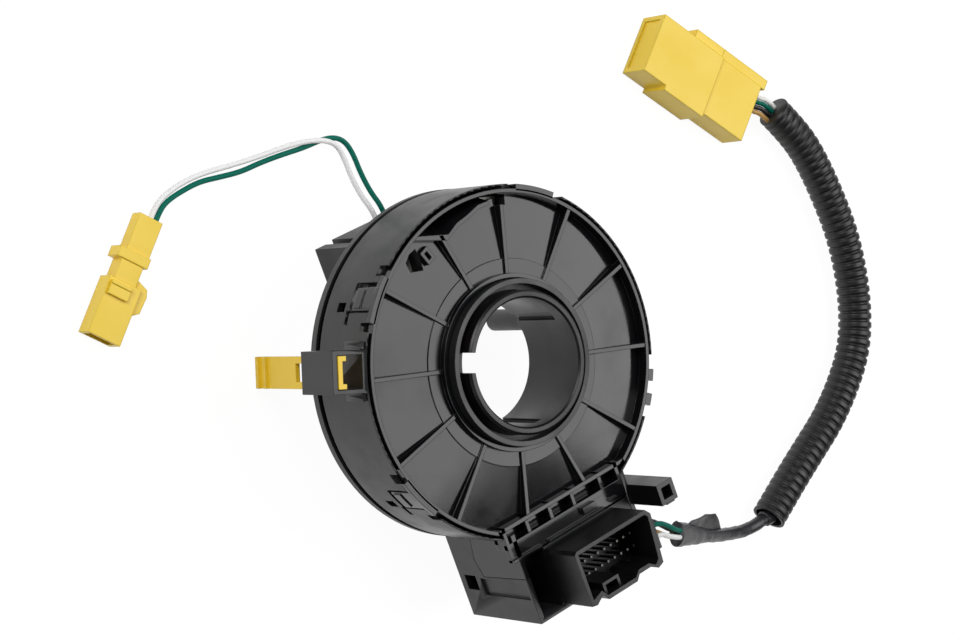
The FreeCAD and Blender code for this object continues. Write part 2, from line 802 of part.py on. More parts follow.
def inline_terminals():
    middle = size.inline_thick / 2
    half = size.terminal_thick / 2
    pins = []
    for y in (-6.0, -2.0, 2.0, 6.0):
        pins.append(box(size.inline_socket - 8, size.inline_socket, y - 0.7, y + 0.7, middle - half, middle + half))
    return set_down(fuse(pins), "inline")


# Cords: each route is a list of points, and the tube's arcs are as large as its runs allow
ROUTES = {
    "airbag_wire_green": [
        (1.8, 46.5, -42.0), (1.8, 49.8, -42.0), (1.3, 54.7, -44.2), (0.8, 61.0, -45.1), (0.6, 67.2, -45.1),
        (-0.6, 71.6, -45.1), (-3.4, 74.0, -45.1), (-7.8, 75.0, -45.1), (-14.8, 75.0, -45.1),
        (-23.0, 75.8, -45.1), (-30.5, 76.2, -45.1), (-37.5, 76.1, -45.1), (-44.5, 77.2, -45.1),
        (-51.5, 78.4, -45.1), (-58.6, 77.9, -44.8), (-63.4, 77.3, -44.0), (-66.95, 75.97, -43.4),
        (-69.86, 73.24, -43.4),
    ],
    "airbag_wire_white": [
        (-1.6, 46.5, -42.0), (-1.6, 49.8, -42.0), (-2.3, 54.7, -44.2), (-2.8, 61.2, -45.1),
        (-3.0, 67.0, -44.9), (-4.4, 71.9, -43.9), (-8.6, 75.0, -43.2), (-14.6, 76.8, -43.8),
        (-22.5, 77.7, -45.0), (-31.5, 78.1, -45.1), (-40.8, 79.1, -45.1), (-50.2, 80.3, -45.1),
        (-57.6, 80.1, -44.9), (-63.8, 79.0, -44.2), (-68.18, 77.28, -43.4), (-71.09, 74.55, -43.4),
    ],
    "harness_wire_green": [
        (30.0, -68.0, -6.5), (34.2, -68.0, -6.5), (39.0, -71.3, -8.7), (43.46, -75.42, -11.08),
        (46.47, -77.14, -13.07),
    ],
    "harness_wire_white": [
        (30.0, -71.6, -6.5), (34.0, -71.6, -6.5), (38.6, -74.9, -9.0), (42.42, -77.24, -11.09),
        (45.42, -78.96, -13.08),
    ],
    "harness_wire_black": [
        (30.0, -67.2, -10.0), (34.0, -67.2, -10.0), (38.5, -71.0, -11.3), (42.56, -74.9, -12.91),
        (45.56, -76.62, -14.9),
    ],
    "harness_wire_tan": [
        (30.0, -70.8, -10.0), (34.0, -70.8, -10.0), (37.9, -74.0, -11.4), (41.51, -76.72, -12.91),
        (44.51, -78.44, -14.9),
    ],
    "tape_wrap": [
        (45.5, -77.8, -14.0), (54.0, -82.67, -19.64), (65.5, -89.0, -27.0), (77.0, -94.9, -33.6),
        (87.5, -99.4, -38.4), (96.0, -101.7, -40.6), (104.6, -101.2, -40.8),
    ],
    "conduit_tape": [(103.6, -101.7, -40.8), (111.0, -97.9, -40.8)],
    "conduit": [
        (111.0, -97.9, -40.8), (119.88, -93.34, -40.8), (129.9, -88.6, -40.8), (141.3, -83.3, -40.8),
        (152.5, -75.7, -40.8), (162.3, -66.5, -40.8), (168.2, -55.6, -40.8), (172.0, -42.0, -40.8),
        (173.6, -27.5, -40.8), (172.4, -13.0, -40.8), (170.2, 0.5, -40.8), (166.6, 11.6, -40.8),
        (160.4, 21.7, -40.8),
    ],
    "tail_wire_white": [
        (162.01, 22.71, -40.8), (159.81, 26.29, -40.8), (156.14, 28.24, -40.8), (153.62, 31.18, -40.8),
    ],
    "tail_wire_green": [
        (160.39, 21.72, -40.8), (158.19, 25.3, -40.8), (154.77, 27.06, -40.8), (152.25, 30.0, -40.8),
    ],
    "tail_wire_black": [
        (158.77, 20.73, -40.8), (156.57, 24.31, -40.8), (153.4, 25.89, -40.8), (150.88, 28.83, -40.8),
    ],
    "tail_wire_tan": [
        (157.15, 19.73, -40.8), (154.95, 23.31, -40.8), (152.11, 24.79, -40.8), (149.59, 27.73, -40.8),
    ],
}
CORD_RADII = {
    "tape_wrap": size.tape_radius,
    "conduit_tape": size.conduit_tape_radius,
    "conduit": size.conduit_radius,
}


def cord(name):
    """A tube along straight runs joined by tangent arcs, each as large as its two runs allow."""
    radius = CORD_RADII.get(name, size.wire_radius).number
    points = [Vector(*point) for point in ROUTES[name]]
    edges = []
    radii = []
    start = points[0]
    for before, corner, after in zip(points, points[1:], points[2:]):
        back = (before - corner).normalize()
        ahead = (after - corner).normalize()
        turn = math.pi - back.getAngle(ahead)
        reach = 0.45 * min(corner.distanceToPoint(before), corner.distanceToPoint(after))
        bend = reach / math.tan(turn / 2)
        radii.append(bend)
        entry = corner + back * reach
        leave = corner + ahead * reach
        middle = corner + (back + ahead).normalize() * (bend / math.cos(turn / 2) - bend)
        edges.append(Part.LineSegment(start, entry).toShape())
        edges.append(Part.Arc(entry, middle, leave).toShape())
        start = leave
    edges.append(Part.LineSegment(start, points[-1]).toShape())
    path = Part.Wire(edges)
    direction = points[1] - points[0]
    section = Part.Wire(Part.makeCircle(radius, points[0], direction))
    tube = doc.addObject("Part::Feature", "Cord")
    tube.Shape = path.makePipeShell([section], True, False)
    expected = math.pi * radius ** 2 * path.Length
    tightest = min(radii) / (2 * radius) if radii else 0
    print(f"{name}: length {path.Length:.1f}, tightest bend {tightest:.1f} diameters, "
          f"volume over section times length {tube.Shape.Volume / expected:.4f}")
    return tube


BUILDERS = [
    stator_tray, stator_band, connector_block, main_terminals, side_connector, side_terminals,
    harness_outlet, lock_clip, slip_sheet_upper, slip_sheet_lower, flat_cable, outer_cable_terminal,
    inner_cable_terminal, rotor_body, cancel_sleeve, rotor_connector_block, rotor_terminals,
    airbag_plug, plug_retainer, plug_terminals, inline_connector, inline_retainer, inline_terminals,
]

for build in BUILDERS:
    node(build.__name__, build())
for cord_name in ROUTES:
    node(cord_name, cord(cord_name))

doc.recompute()
faulty = [item.Label for item in doc.Objects if {"Invalid", "Error"} & set(item.State)]
for name, item in nodes.items():
    if item.Shape.isNull() or not item.Shape.isValid():
        faulty.append(name)
if faulty:
    raise RuntimeError("failed: " + ", ".join(faulty))

os.makedirs("parts", exist_ok=True)
for name, item in nodes.items():
    item.Shape.exportStep(os.path.join("parts", name + ".step"))
    bounds = item.Shape.BoundBox
    print(f"{name}: {len(item.Shape.Solids)} solids, volume {item.Shape.Volume:.1f}, "
          f"x {bounds.XMin:.1f} {bounds.XMax:.1f}, y {bounds.YMin:.1f} {bounds.YMax:.1f}, "
          f"z {bounds.ZMin:.1f} {bounds.ZMax:.1f}")
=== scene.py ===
# %% [markdown]
# # A steering clock spring in the studio
# The object is the round black unit that sits behind a steering wheel and carries the airbag's current
# across the turning joint. Its solids come from the CAD model as a fixed frame. Rotor, connectors and clip
# are shown as they are. The drum's face, its band and the cords are made here in finer detail and take the
# place of theirs. This lesson sets a camera and lamps, lays the cords, carves the drum, and then gives
# every piece its finish: black moulded plastic, yellow moulded plastic, wire jackets, tape and conduit.

# %% The CAD model as a fixed frame
import math
import bmesh
import bpy
import numpy as np
from mathutils import Matrix, Vector


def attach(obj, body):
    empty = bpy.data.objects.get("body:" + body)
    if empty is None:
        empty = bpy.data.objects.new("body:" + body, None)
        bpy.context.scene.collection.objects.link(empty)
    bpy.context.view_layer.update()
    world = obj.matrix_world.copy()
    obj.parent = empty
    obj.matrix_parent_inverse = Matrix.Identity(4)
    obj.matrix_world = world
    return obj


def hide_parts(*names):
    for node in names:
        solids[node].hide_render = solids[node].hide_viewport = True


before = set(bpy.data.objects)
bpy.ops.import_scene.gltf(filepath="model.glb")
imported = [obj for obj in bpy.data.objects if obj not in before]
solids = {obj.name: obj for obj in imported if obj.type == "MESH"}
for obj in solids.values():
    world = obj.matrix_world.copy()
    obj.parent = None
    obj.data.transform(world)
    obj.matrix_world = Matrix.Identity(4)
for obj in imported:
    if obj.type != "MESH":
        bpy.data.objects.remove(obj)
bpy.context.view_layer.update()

# %% [markdown]
# The photograph looks down on the unit from its connector side, with a long lens. A camera could be
# aimed with a constraint, but the view is rolled, so its three directions are written out: where its
# right side, its top and its line of sight point. A matrix with these as columns turns it in one go.

# %% The camera
eye = Vector((-0.3795, 0.1652, 0.5523))
sight = Vector((0.5459, -0.2184, -0.8089)).normalized()
across = sight.cross(Vector((0.3907, 0.9204, 0.0152))).normalized()
upward = across.cross(sight)
lens = bpy.data.cameras.new("studio_camera")
lens.lens, lens.sensor_width = 90.0, 36.0
lens.clip_start, lens.clip_end = 0.01, 50.0
camera = bpy.data.objects.new("studio_camera", lens)
camera.matrix_world = Matrix.Translation(eye) @ Matrix((across, upward, -sight)).transposed().to_4x4()
bpy.context.scene.collection.objects.link(camera)
bpy.context.scene.camera = camera
print("the camera looks along", [round(v, 3) for v in sight])

# %% [markdown]
# The picture has a plain white ground. A white floor under soft light would come out grey in places, so
# the floor shows the camera a mix of its own light and its lit surface: nearly white, with the shadow
# kept as a faint tone. Reflections see the same, while the light that it throws back on the object is
# that of an ordinary white board.

# %% The floor and the white surroundings
def nodes_of(name):
    """A new material with an empty node tree: the material, its nodes and its links."""
    material = bpy.data.materials.new(name)
    material.use_nodes = True
    material.node_tree.nodes.clear()
    return material, material.node_tree.nodes, material.node_tree.links


FLOOR_LEVEL = -0.0461
material, nodes, links = nodes_of("white_board")
seen = nodes.new("ShaderNodeLightPath")
either = nodes.new("ShaderNodeMath")
either.operation = "MAXIMUM"
glass_too = nodes.new("ShaderNodeMath")
glass_too.operation = "MAXIMUM"
share = nodes.new("ShaderNodeMath")
share.operation = "MULTIPLY"
share.inputs[1].default_value = 0.90
lit = nodes.new("ShaderNodeBsdfDiffuse")
lit.inputs["Color"].default_value = (0.9, 0.9, 0.9, 1)
shining = nodes.new("ShaderNodeEmission")
shining.inputs["Color"].default_value = (1, 1, 1, 1)
shining.inputs["Strength"].default_value = 1.06
blend = nodes.new("ShaderNodeMixShader")
out = nodes.new("ShaderNodeOutputMaterial")
links.new(seen.outputs["Is Camera Ray"], either.inputs[0])
links.new(seen.outputs["Is Glossy Ray"], either.inputs[1])
links.new(either.outputs[0], glass_too.inputs[0])
links.new(seen.outputs["Is Transmission Ray"], glass_too.inputs[1])
links.new(glass_too.outputs[0], share.inputs[0])
links.new(share.outputs[0], blend.inputs["Fac"])
links.new(lit.outputs[0], blend.inputs[1])
links.new(shining.outputs[0], blend.inputs[2])
links.new(blend.outputs[0], out.inputs["Surface"])
board = material

half = 3.0
floor_mesh = bpy.data.meshes.new("floor")
floor_mesh.from_pydata(
    [(x * half, y * half, FLOOR_LEVEL) for x, y in ((-1, -1), (1, -1), (1, 1), (-1, 1))],
    [], [(0, 1, 2, 3)])
floor = bpy.data.objects.new("floor", floor_mesh)
floor_mesh.materials.append(board)
bpy.context.scene.collection.objects.link(floor)

world = bpy.data.worlds.new("studio")
bpy.context.scene.world = world
world.use_nodes = True
nodes, links = world.node_tree.nodes, world.node_tree.links
nodes.clear()
seen = nodes.new("ShaderNodeLightPath")
lighting = nodes.new("ShaderNodeBackground")
lighting.inputs["Color"].default_value = (1, 1, 1, 1)
lighting.inputs["Strength"].default_value = 0.085
white = nodes.new("ShaderNodeBackground")
white.inputs["Color"].default_value = (1, 1, 1, 1)
white.inputs["Strength"].default_value = 1.0
both = nodes.new("ShaderNodeMixShader")
out = nodes.new("ShaderNodeOutputWorld")
links.new(seen.outputs["Is Camera Ray"], both.inputs["Fac"])
links.new(lighting.outputs[0], both.inputs[1])
links.new(white.outputs[0], both.inputs[2])
links.new(both.outputs[0], out.inputs["Surface"])

bpy.context.scene.view_settings.view_transform = "Standard"

# %% [markdown]
# Black plastic shows its shape only by what it mirrors. A lamp beside the camera would leave it flat, so
# the main soft box hangs where the tray's face mirrors it towards the camera: on the far side, as high
# above the face as the camera is. A second one lights the yellow pieces and the drum's side, and a small
# third one, low on the drum's left, adds to the light on its flank.

# %% The lamps
def soft_box(name, way, distance, width, height, power):
    """An area lamp at a distance along a direction from the drum, turned towards the drum."""
    lamp = bpy.data.lights.new(name, "AREA")
    lamp.shape = "RECTANGLE"
    lamp.size, lamp.size_y, lamp.energy = width, height, power
    thing = bpy.data.objects.new(name, lamp)
    way = Vector(way).normalized()
    thing.location = way * distance
    thing.rotation_mode = "QUATERNION"
    thing.rotation_quaternion = way.to_track_quat("Z", "Y")
    bpy.context.scene.collection.objects.link(thing)
    return thing


soft_box("far_soft_box", (0.58, -0.06, 0.80), 1.1, 0.95, 0.95, 9.4)
soft_box("near_soft_box", (-0.50, 0.90, 0.75), 1.2, 0.6, 0.6, 6.4)
soft_box("side_soft_box", (-1.0, -0.25, 0.30), 1.3, 0.5, 0.3, 1.9)

# %% [markdown]
# A cord is a smooth line. Each route below has the same points as the CAD model's tubes, in metres, and
# they become the control points of a NURBS spline, which bends gently past them. The curve's bevel gives
# a round jacket. Thicker cords that need ribs or windings take their line from such a spline instead.

# %% The routes of the cords
ROUTES = {
    "airbag_wire_green": [
        (1.8, 46.5, -42.0), (1.8, 49.8, -42.0), (1.3, 54.7, -44.2), (0.8, 61.0, -45.1), (0.6, 67.2, -45.1),
        (-0.6, 71.6, -45.1), (-3.4, 74.0, -45.1), (-7.8, 75.0, -45.1), (-14.8, 75.0, -45.1),
        (-23.0, 75.8, -45.1), (-30.5, 76.2, -45.1), (-37.5, 76.1, -45.1), (-44.5, 77.2, -45.1),
        (-51.5, 78.4, -45.1), (-58.6, 77.9, -44.8), (-63.4, 77.3, -44.0), (-66.95, 75.97, -43.4),
        (-69.86, 73.24, -43.4),
    ],
    "airbag_wire_white": [
        (-1.6, 46.5, -42.0), (-1.6, 49.8, -42.0), (-2.3, 54.7, -44.2), (-2.8, 61.2, -45.1),
        (-3.0, 67.0, -44.9), (-4.4, 71.9, -43.9), (-8.6, 75.0, -43.2), (-14.6, 76.8, -43.8),
        (-22.5, 77.7, -45.0), (-31.5, 78.1, -45.1), (-40.8, 79.1, -45.1), (-50.2, 80.3, -45.1),
        (-57.6, 80.1, -44.9), (-63.8, 79.0, -44.2), (-68.18, 77.28, -43.4), (-71.09, 74.55, -43.4),
    ],
    "harness_wire_green": [
        (30.0, -68.0, -6.5), (34.2, -68.0, -6.5), (39.0, -71.3, -8.7), (43.46, -75.42, -11.08),
        (46.47, -77.14, -13.07),
    ],
    "harness_wire_white": [
        (30.0, -71.6, -6.5), (34.0, -71.6, -6.5), (38.6, -74.9, -9.0), (42.42, -77.24, -11.09),
        (45.42, -78.96, -13.08),
    ],
    "harness_wire_black": [
        (30.0, -67.2, -10.0), (34.0, -67.2, -10.0), (38.5, -71.0, -11.3), (42.56, -74.9, -12.91),
        (45.56, -76.62, -14.9),
    ],
    "harness_wire_tan": [
        (30.0, -70.8, -10.0), (34.0, -70.8, -10.0), (37.9, -74.0, -11.4), (41.51, -76.72, -12.91),
        (44.51, -78.44, -14.9),
    ],
    "tape_wrap": [
        (45.5, -77.8, -14.0), (54.0, -82.67, -19.64), (65.5, -89.0, -27.0), (77.0, -94.9, -33.6),
        (87.5, -99.4, -38.4), (96.0, -101.7, -40.4), (104.6, -101.2, -40.2),
    ],
    "conduit": [
        (103.6, -101.7, -40.2), (111.0, -97.9, -40.2), (119.88, -93.34, -40.2), (129.9, -88.6, -40.2),
        (141.3, -83.3, -40.2), (152.5, -75.7, -40.2), (162.3, -66.5, -40.2), (168.2, -55.6, -40.2),
        (172.0, -42.0, -40.2), (173.6, -27.5, -40.2), (172.4, -13.0, -40.2), (170.2, 0.5, -40.2),
        (166.6, 11.6, -40.2), (160.4, 21.7, -40.2),
    ],
    "tail_wire_white": [
        (162.01, 22.71, -40.8), (159.81, 26.29, -40.8), (156.14, 28.24, -40.8), (153.62, 31.18, -40.8),
    ],
    "tail_wire_green": [
        (160.39, 21.72, -40.8), (158.19, 25.3, -40.8), (154.77, 27.06, -40.8), (152.25, 30.0, -40.8),
    ],
    "tail_wire_black": [
        (158.77, 20.73, -40.8), (156.57, 24.31, -40.8), (153.4, 25.89, -40.8), (150.88, 28.83, -40.8),
    ],
    "tail_wire_tan": [
        (157.15, 19.73, -40.8), (154.95, 23.31, -40.8), (152.11, 24.79, -40.8), (149.59, 27.73, -40.8),
    ],
}
MILLI = 0.001
WIRE_RADIUS = 0.8 * MILLI


def spline_of(name, points, radius):
    """A NURBS curve object through control points in millimetres, with a round bevel of the given radius."""
    curve = bpy.data.curves.new(name, "CURVE")
    curve.dimensions = "3D"
    curve.resolution_u = 12
    curve.bevel_depth = radius
    curve.bevel_resolution = 5
    curve.use_fill_caps = True
    line = curve.splines.new("NURBS")
    line.points.add(len(points) - 1)
    rows = np.hstack([np.array(points) * MILLI, np.ones((len(points), 1))])
    line.points.foreach_set("co", rows.ravel())
    line.order_u = 3
    line.use_endpoint_u = True
    thing = bpy.data.objects.new(name, curve)
    bpy.context.scene.collection.objects.link(thing)
    return thing


def line_of(name):
    """The points that a route's NURBS spline passes, as an array, read from a curve with no bevel."""
    bare = spline_of(name + "_line", ROUTES[name], 0.0)
    bare.data.resolution_u = 24
    mesh = bpy.data.meshes.new_from_object(bare)
    spots = np.zeros(len(mesh.vertices) * 3, np.float32)
    mesh.vertices.foreach_get("co", spots)
    bpy.data.objects.remove(bare)
    bpy.data.meshes.remove(mesh)
    return spots.reshape(-1, 3).astype(float)


def length_of(points):
    """The length of a line through points: the sum of its steps."""
    return float(np.linalg.norm(np.diff(points, axis=0), axis=1).sum())


wires = {}
for wire in ROUTES:
    if wire in ("tape_wrap", "conduit"):
        continue
    wires[wire] = spline_of(wire + "_jacket", ROUTES[wire], WIRE_RADIUS)
    print(wire, "is", round(length_of(line_of(wire)) * 1000, 1), "mm long")

# %% [markdown]
# The ribbed conduit and the taped stretches are surfaces of their own: a ring of points is carried along
# the line, and its radius changes on the way. The whole grid is worked out at once with numpy. A ring's
# two directions come from the line's heading and the vertical, which is safe here because no cord stands
# upright.

# %% Surfaces carried along a line
def resampled(points, count):
    """The line at evenly spaced stations: each coordinate is read off against the length run so far."""
    run = np.concatenate([[0.0], np.cumsum(np.linalg.norm(np.diff(points, axis=0), axis=1))])
    at = np.linspace(0.0, run[-1], count)
    return at, np.stack([np.interp(at, run, points[:, k]) for k in range(3)], axis=1)


def directions(points):
    """At each station: the heading, the level side direction (vertical cross heading) and the third one."""
    heading = np.gradient(points, axis=0)
    heading /= np.linalg.norm(heading, axis=1, keepdims=True)
    side = np.cross(np.array([0.0, 0.0, 1.0]), heading)
    side /= np.linalg.norm(side, axis=1, keepdims=True)
    return heading, side, np.cross(heading, side)


def grid_piece(name, grid, wrap=True, caps=True):
    """A mesh from a grid of points, rows along the piece and columns round it. Each quad joins two
    neighbours of one row with the same two of the next. Its UV map counts rows and columns."""
    rows, columns = grid.shape[:2]
    row = np.arange(rows - 1)[:, None]
    column = np.arange(columns if wrap else columns - 1)[None, :]
    after = (column + 1) % columns
    quads = np.stack([row * columns + column, row * columns + after,
                      (row + 1) * columns + after, (row + 1) * columns + column], axis=-1).reshape(-1, 4)
    faces = quads.tolist()
    if caps and wrap:
        faces.append(list(range(columns))[::-1])
        faces.append([(rows - 1) * columns + k for k in range(columns)])
    mesh = bpy.data.meshes.new(name)
    mesh.from_pydata(grid.reshape(-1, 3).tolist(), [], faces)
    whole = (rows - 1, column.size)
    u = np.stack([np.broadcast_to(column + step, whole) for step in (0, 1, 1, 0)], -1)
    v = np.stack([np.broadcast_to(row + step, whole) for step in (0, 0, 1, 1)], -1)
    loops = np.zeros((len(mesh.loops), 2), np.float32)
    flat = np.stack([u / columns, v / rows], -1).reshape(-1, 2)
    loops[:len(flat)] = flat
    mesh.uv_layers.new(name="wrapped").data.foreach_set("uv", loops.ravel())
    mesh.polygons.foreach_set("use_smooth", np.ones(len(mesh.polygons), bool))
    mesh.validate()
    thing = bpy.data.objects.new(name, mesh)
    bpy.context.scene.collection.objects.link(thing)
    print(name, "has", len(faces), "faces")
    return thing


def tube_grid(points, radius, columns, across=1.0):
    """Rings round a line: point = station + radius (across cos a side + sin a up). radius is an array of
    one row per station and one column per angle, and across one value or one per station."""
    _, side, up = directions(points)
    angle = np.linspace(0.0, 2 * math.pi, columns, endpoint=False)
    wide = (across * np.cos(angle)[None, :])[:, :, None]
    return (points[:, None, :] + radius[:, :, None] * (
        wide * side[:, None, :] + np.sin(angle)[None, :, None] * up[:, None, :]))


# %% [markdown]
# The conduit is the split corrugated sleeve that guards a loom of wires. Each rib is a flat-topped ring
# with a narrow groove after it. Modelling one rib and repeating it would do, but a wave along the length
# is shorter: a cosine pushed through tanh has flat tops and steep sides. Its foot is an open mouth, so the
# same surface turns back inside there, as a smooth bore that ends at a floor.

# %% The ribbed conduit
CONDUIT_OUTER, CONDUIT_GROOVE, RIB_PITCH = 5.7 * MILLI, 0.7 * MILLI, 3.0 * MILLI
MOUTH_RADIUS, MOUTH_DEPTH = 4.7 * MILLI, 12.0 * MILLI
conduit_line = line_of("conduit")
conduit_length = length_of(conduit_line)
ribs = round(conduit_length / RIB_PITCH)
along, stations = resampled(conduit_line, ribs * 12 + 1)
STEEP, TOP_SHIFT = 3.0, 0.55
wave = np.tanh(STEEP * (np.cos(2 * math.pi * along / conduit_length * ribs) + TOP_SHIFT))
wave = wave / math.tanh(STEEP * (1 + TOP_SHIFT))
swell = CONDUIT_OUTER - CONDUIT_GROOVE / 2 + CONDUIT_GROOVE / 2 * np.clip(wave, -1, 1)
ROUND = 32
outside = tube_grid(stations, np.repeat(swell[:, None], ROUND, axis=1), ROUND)
deep = int(np.searchsorted(along, MOUTH_DEPTH))
inside = tube_grid(stations[:deep], np.full((deep, ROUND), MOUTH_RADIUS), ROUND)[::-1]
conduit = grid_piece("conduit_sleeve", np.concatenate([inside, outside]))
print("the conduit has", ribs, "ribs over", round(conduit_length * 1000, 1), "mm")

# %% [markdown]
# The loom's wires are bound with black tape between the drum and the conduit. Tape goes on in a spiral,
# each turn over the edge of the last, so the radius climbs slowly and drops at a seam that winds round
# the piece: a sawtooth of the length plus the angle.

# %% The taped stretch
def wound(points, thick, width, lap, step, columns, seed):
    """Radius of a spiral winding: half the width, plus step times the sawtooth of length/lap + angle/turn,
    plus a slow unevenness that two sines of length and angle make."""
    run = np.concatenate([[0.0], np.cumsum(np.linalg.norm(np.diff(points, axis=0), axis=1))])[:, None]
    angle = np.linspace(0.0, 2 * math.pi, columns, endpoint=False)[None, :]
    tooth = (run / lap + angle / (2 * math.pi)) % 1.0
    uneven = np.sin(run / lap * 2.1 + seed + 2 * angle) * np.sin(run / lap * 0.7 + 3 * seed + angle)
    return thick[:, None] * width + step * tooth + 0.25 * step * uneven


TAPE_STATIONS, TAPE_DIAMETER = 260, 0.0047
tape_line = line_of("tape_wrap")
_, tape_stations = resampled(tape_line, TAPE_STATIONS)
share_run = np.linspace(0, 1, TAPE_STATIONS)
# the radius falls over the first share of the run, and the tape lies wider than high at the drum's end
TAPE_RADIUS, THINNER, THIN_FROM = 2.35 * MILLI, 0.35 * MILLI, 0.6
WIDER, WIDE_UP_TO = 0.62, 0.36
thin = TAPE_RADIUS - THINNER * np.clip(share_run / THIN_FROM, 0, 1)
broad = 1.0 + WIDER * np.clip(1.0 - share_run / WIDE_UP_TO, 0.0, 1.0) ** 0.7
tape = grid_piece("tape_winding", tube_grid(
    tape_stations, wound(tape_stations, thin, 1.0, 7.5 * MILLI, 0.22 * MILLI, 48, 1.3), 48, broad[:, None]))

# %% [markdown]
# At the drum's end the tape was laid on flat and wide, and its last turn was pinched onto itself, which
# leaves a flag standing off the side. The flag is a sheet on a grid: along the loom it rises slowly to a
# tip and falls quickly, and across it curls a little.

# %% The flag of the tape
FLAG_FROM, FLAG_TO, FLAG_HEIGHT, FLAG_THICK = 0.10, 0.56, 6.4 * MILLI, 0.16 * MILLI
_, flag_side, flag_up = directions(tape_stations)
row = np.arange(int(FLAG_FROM * (TAPE_STATIONS - 1)), int(FLAG_TO * (TAPE_STATIONS - 1)))
travel = (row - row[0]) / (row[-1] - row[0])
rise = np.interp(travel, [0.0, 0.08, 0.45, 0.68, 0.86, 1.0], [0.0, 0.35, 0.88, 1.0, 0.42, 0.0])
share_up = np.linspace(0.0, 1.0, 9)
lean = flag_side[row][:, None, :] * np.cos(0.55 * share_up)[None, :, None] \
    + flag_up[row][:, None, :] * (
        0.35 * np.sin(2.2 * share_up) + 0.12 * np.sin(9.0 * travel)[:, None])[:, :, None]
foot_of_flag = tape_stations[row] + flag_side[row] * (thin[row] * broad[row] * 0.8)[:, None] \
    + flag_up[row] * 0.5 * MILLI
sheet = foot_of_flag[:, None, :] + lean * (FLAG_HEIGHT * rise[:, None] * share_up[None, :])[:, :, None]
skin = flag_up[row][:, None, :] * FLAG_THICK
flag = grid_piece("tape_flag", np.concatenate([sheet + skin, (sheet - skin)[:, ::-1]], axis=1))

# %% [markdown]
# The conduit's open mouth shows the taped loom going in. One more winding runs from the tape's last
# stations to the first ones inside the bore.

# %% The loom inside the conduit's mouth
LOOM_STATIONS, LOOM_RADIUS = 60, 2.6 * MILLI
inner_line = np.vstack([tape_stations[-12:-1:4], stations[3:deep - 4:6]])
_, inner_stations = resampled(inner_line, LOOM_STATIONS)
loom = wound(inner_stations, np.full(LOOM_STATIONS, LOOM_RADIUS), 1.0, 5.0 * MILLI, 0.2 * MILLI, 40, 0.4)
foot = grid_piece("loom_in_mouth", tube_grid(inner_stations, loom, 40))

# %% [markdown]
# The drum's face is one thin moulding: a ribbed dish with a window beside its rim, and a shelf over
# the connectors. Such a moulding is easiest to think of as a few straight and turned shapes laid together,
# with the openings taken out. Each shape is an outline carried along a line or round the axis, and the
# openings are carved with the Boolean modifier's exact solver, which leaves closed skins.

# %% Straight and turned shapes
# an edge is drawn sharp where its faces differ by more than this many degrees
SHARP = 28.0


def skin_of(grid, ring=False):
    """A closed skin over a grid of points in millimetres. Columns close on themselves. Rows close too when
    ring is true, and otherwise the first and the last row get a face each."""
    rows, columns = grid.shape[:2]
    row = np.arange(rows if ring else rows - 1)[:, None]
    column = np.arange(columns)[None, :]
    below, after = (row + 1) % rows, (column + 1) % columns
    faces = np.stack([row * columns + column, row * columns + after,
                      below * columns + after, below * columns + column], axis=-1).reshape(-1, 4).tolist()
    if not ring:
        faces += [list(range(columns))[::-1], [(rows - 1) * columns + k for k in range(columns)]]
    mesh = bpy.data.meshes.new("skin")
    mesh.from_pydata((grid.reshape(-1, 3) * MILLI).tolist(), [], faces)
    work = bmesh.new()
    work.from_mesh(mesh)
    bmesh.ops.recalc_face_normals(work, faces=work.faces)
    work.to_mesh(mesh)
    work.free()
    return mesh


def lathed(profile, start=0.0, sweep=360.0):
    """An outline of radius and height carried round the axis: (r cos a, r sin a, z)."""
    whole = sweep >= 360.0
    angle = np.radians(np.linspace(start, start + sweep, max(3, int(sweep / 1.5)) + 1))
    angle = angle[:-1] if whole else angle
    radius, height = np.array(profile, float).T
    grid = np.stack([np.cos(angle)[:, None] * radius, np.sin(angle)[:, None] * radius,
                     np.broadcast_to(height, (len(angle), len(height)))], axis=-1)
    return skin_of(grid, ring=whole)


def sector(near, far, low, high, start, sweep):
    """A block bent round the axis: two radii, two levels, and the angles from start over sweep."""
    return lathed([(near, low), (far, low), (far, high), (near, high)], start, sweep)


def raised(outline, low, high):
    """An outline of the plan carried straight up from one level to another."""
    plan = np.array(outline, float)
    grid = np.stack([np.hstack([plan, np.full((len(plan), 1), level)]) for level in (low, high)])
    return skin_of(grid)


def block(x0, x1, y0, y1, low, high):
    """A straight block between two values each of x, y and the level."""
    return raised([(x0, y0), (x1, y0), (x1, y1), (x0, y1)], low, high)


def polar(radius, angle):
    """The plan's x and y at a radius and an angle in degrees."""
    return radius * math.cos(math.radians(angle)), radius * math.sin(math.radians(angle))


def spoke(turn, near, far, width, low, high):
    """A block that points outward at an angle of the plan."""
    ahead, side = np.array(polar(1.0, turn)), np.array(polar(width / 2, turn + 90))
    return raised([near * ahead - side, far * ahead - side, far * ahead + side, near * ahead + side],
                  low, high)


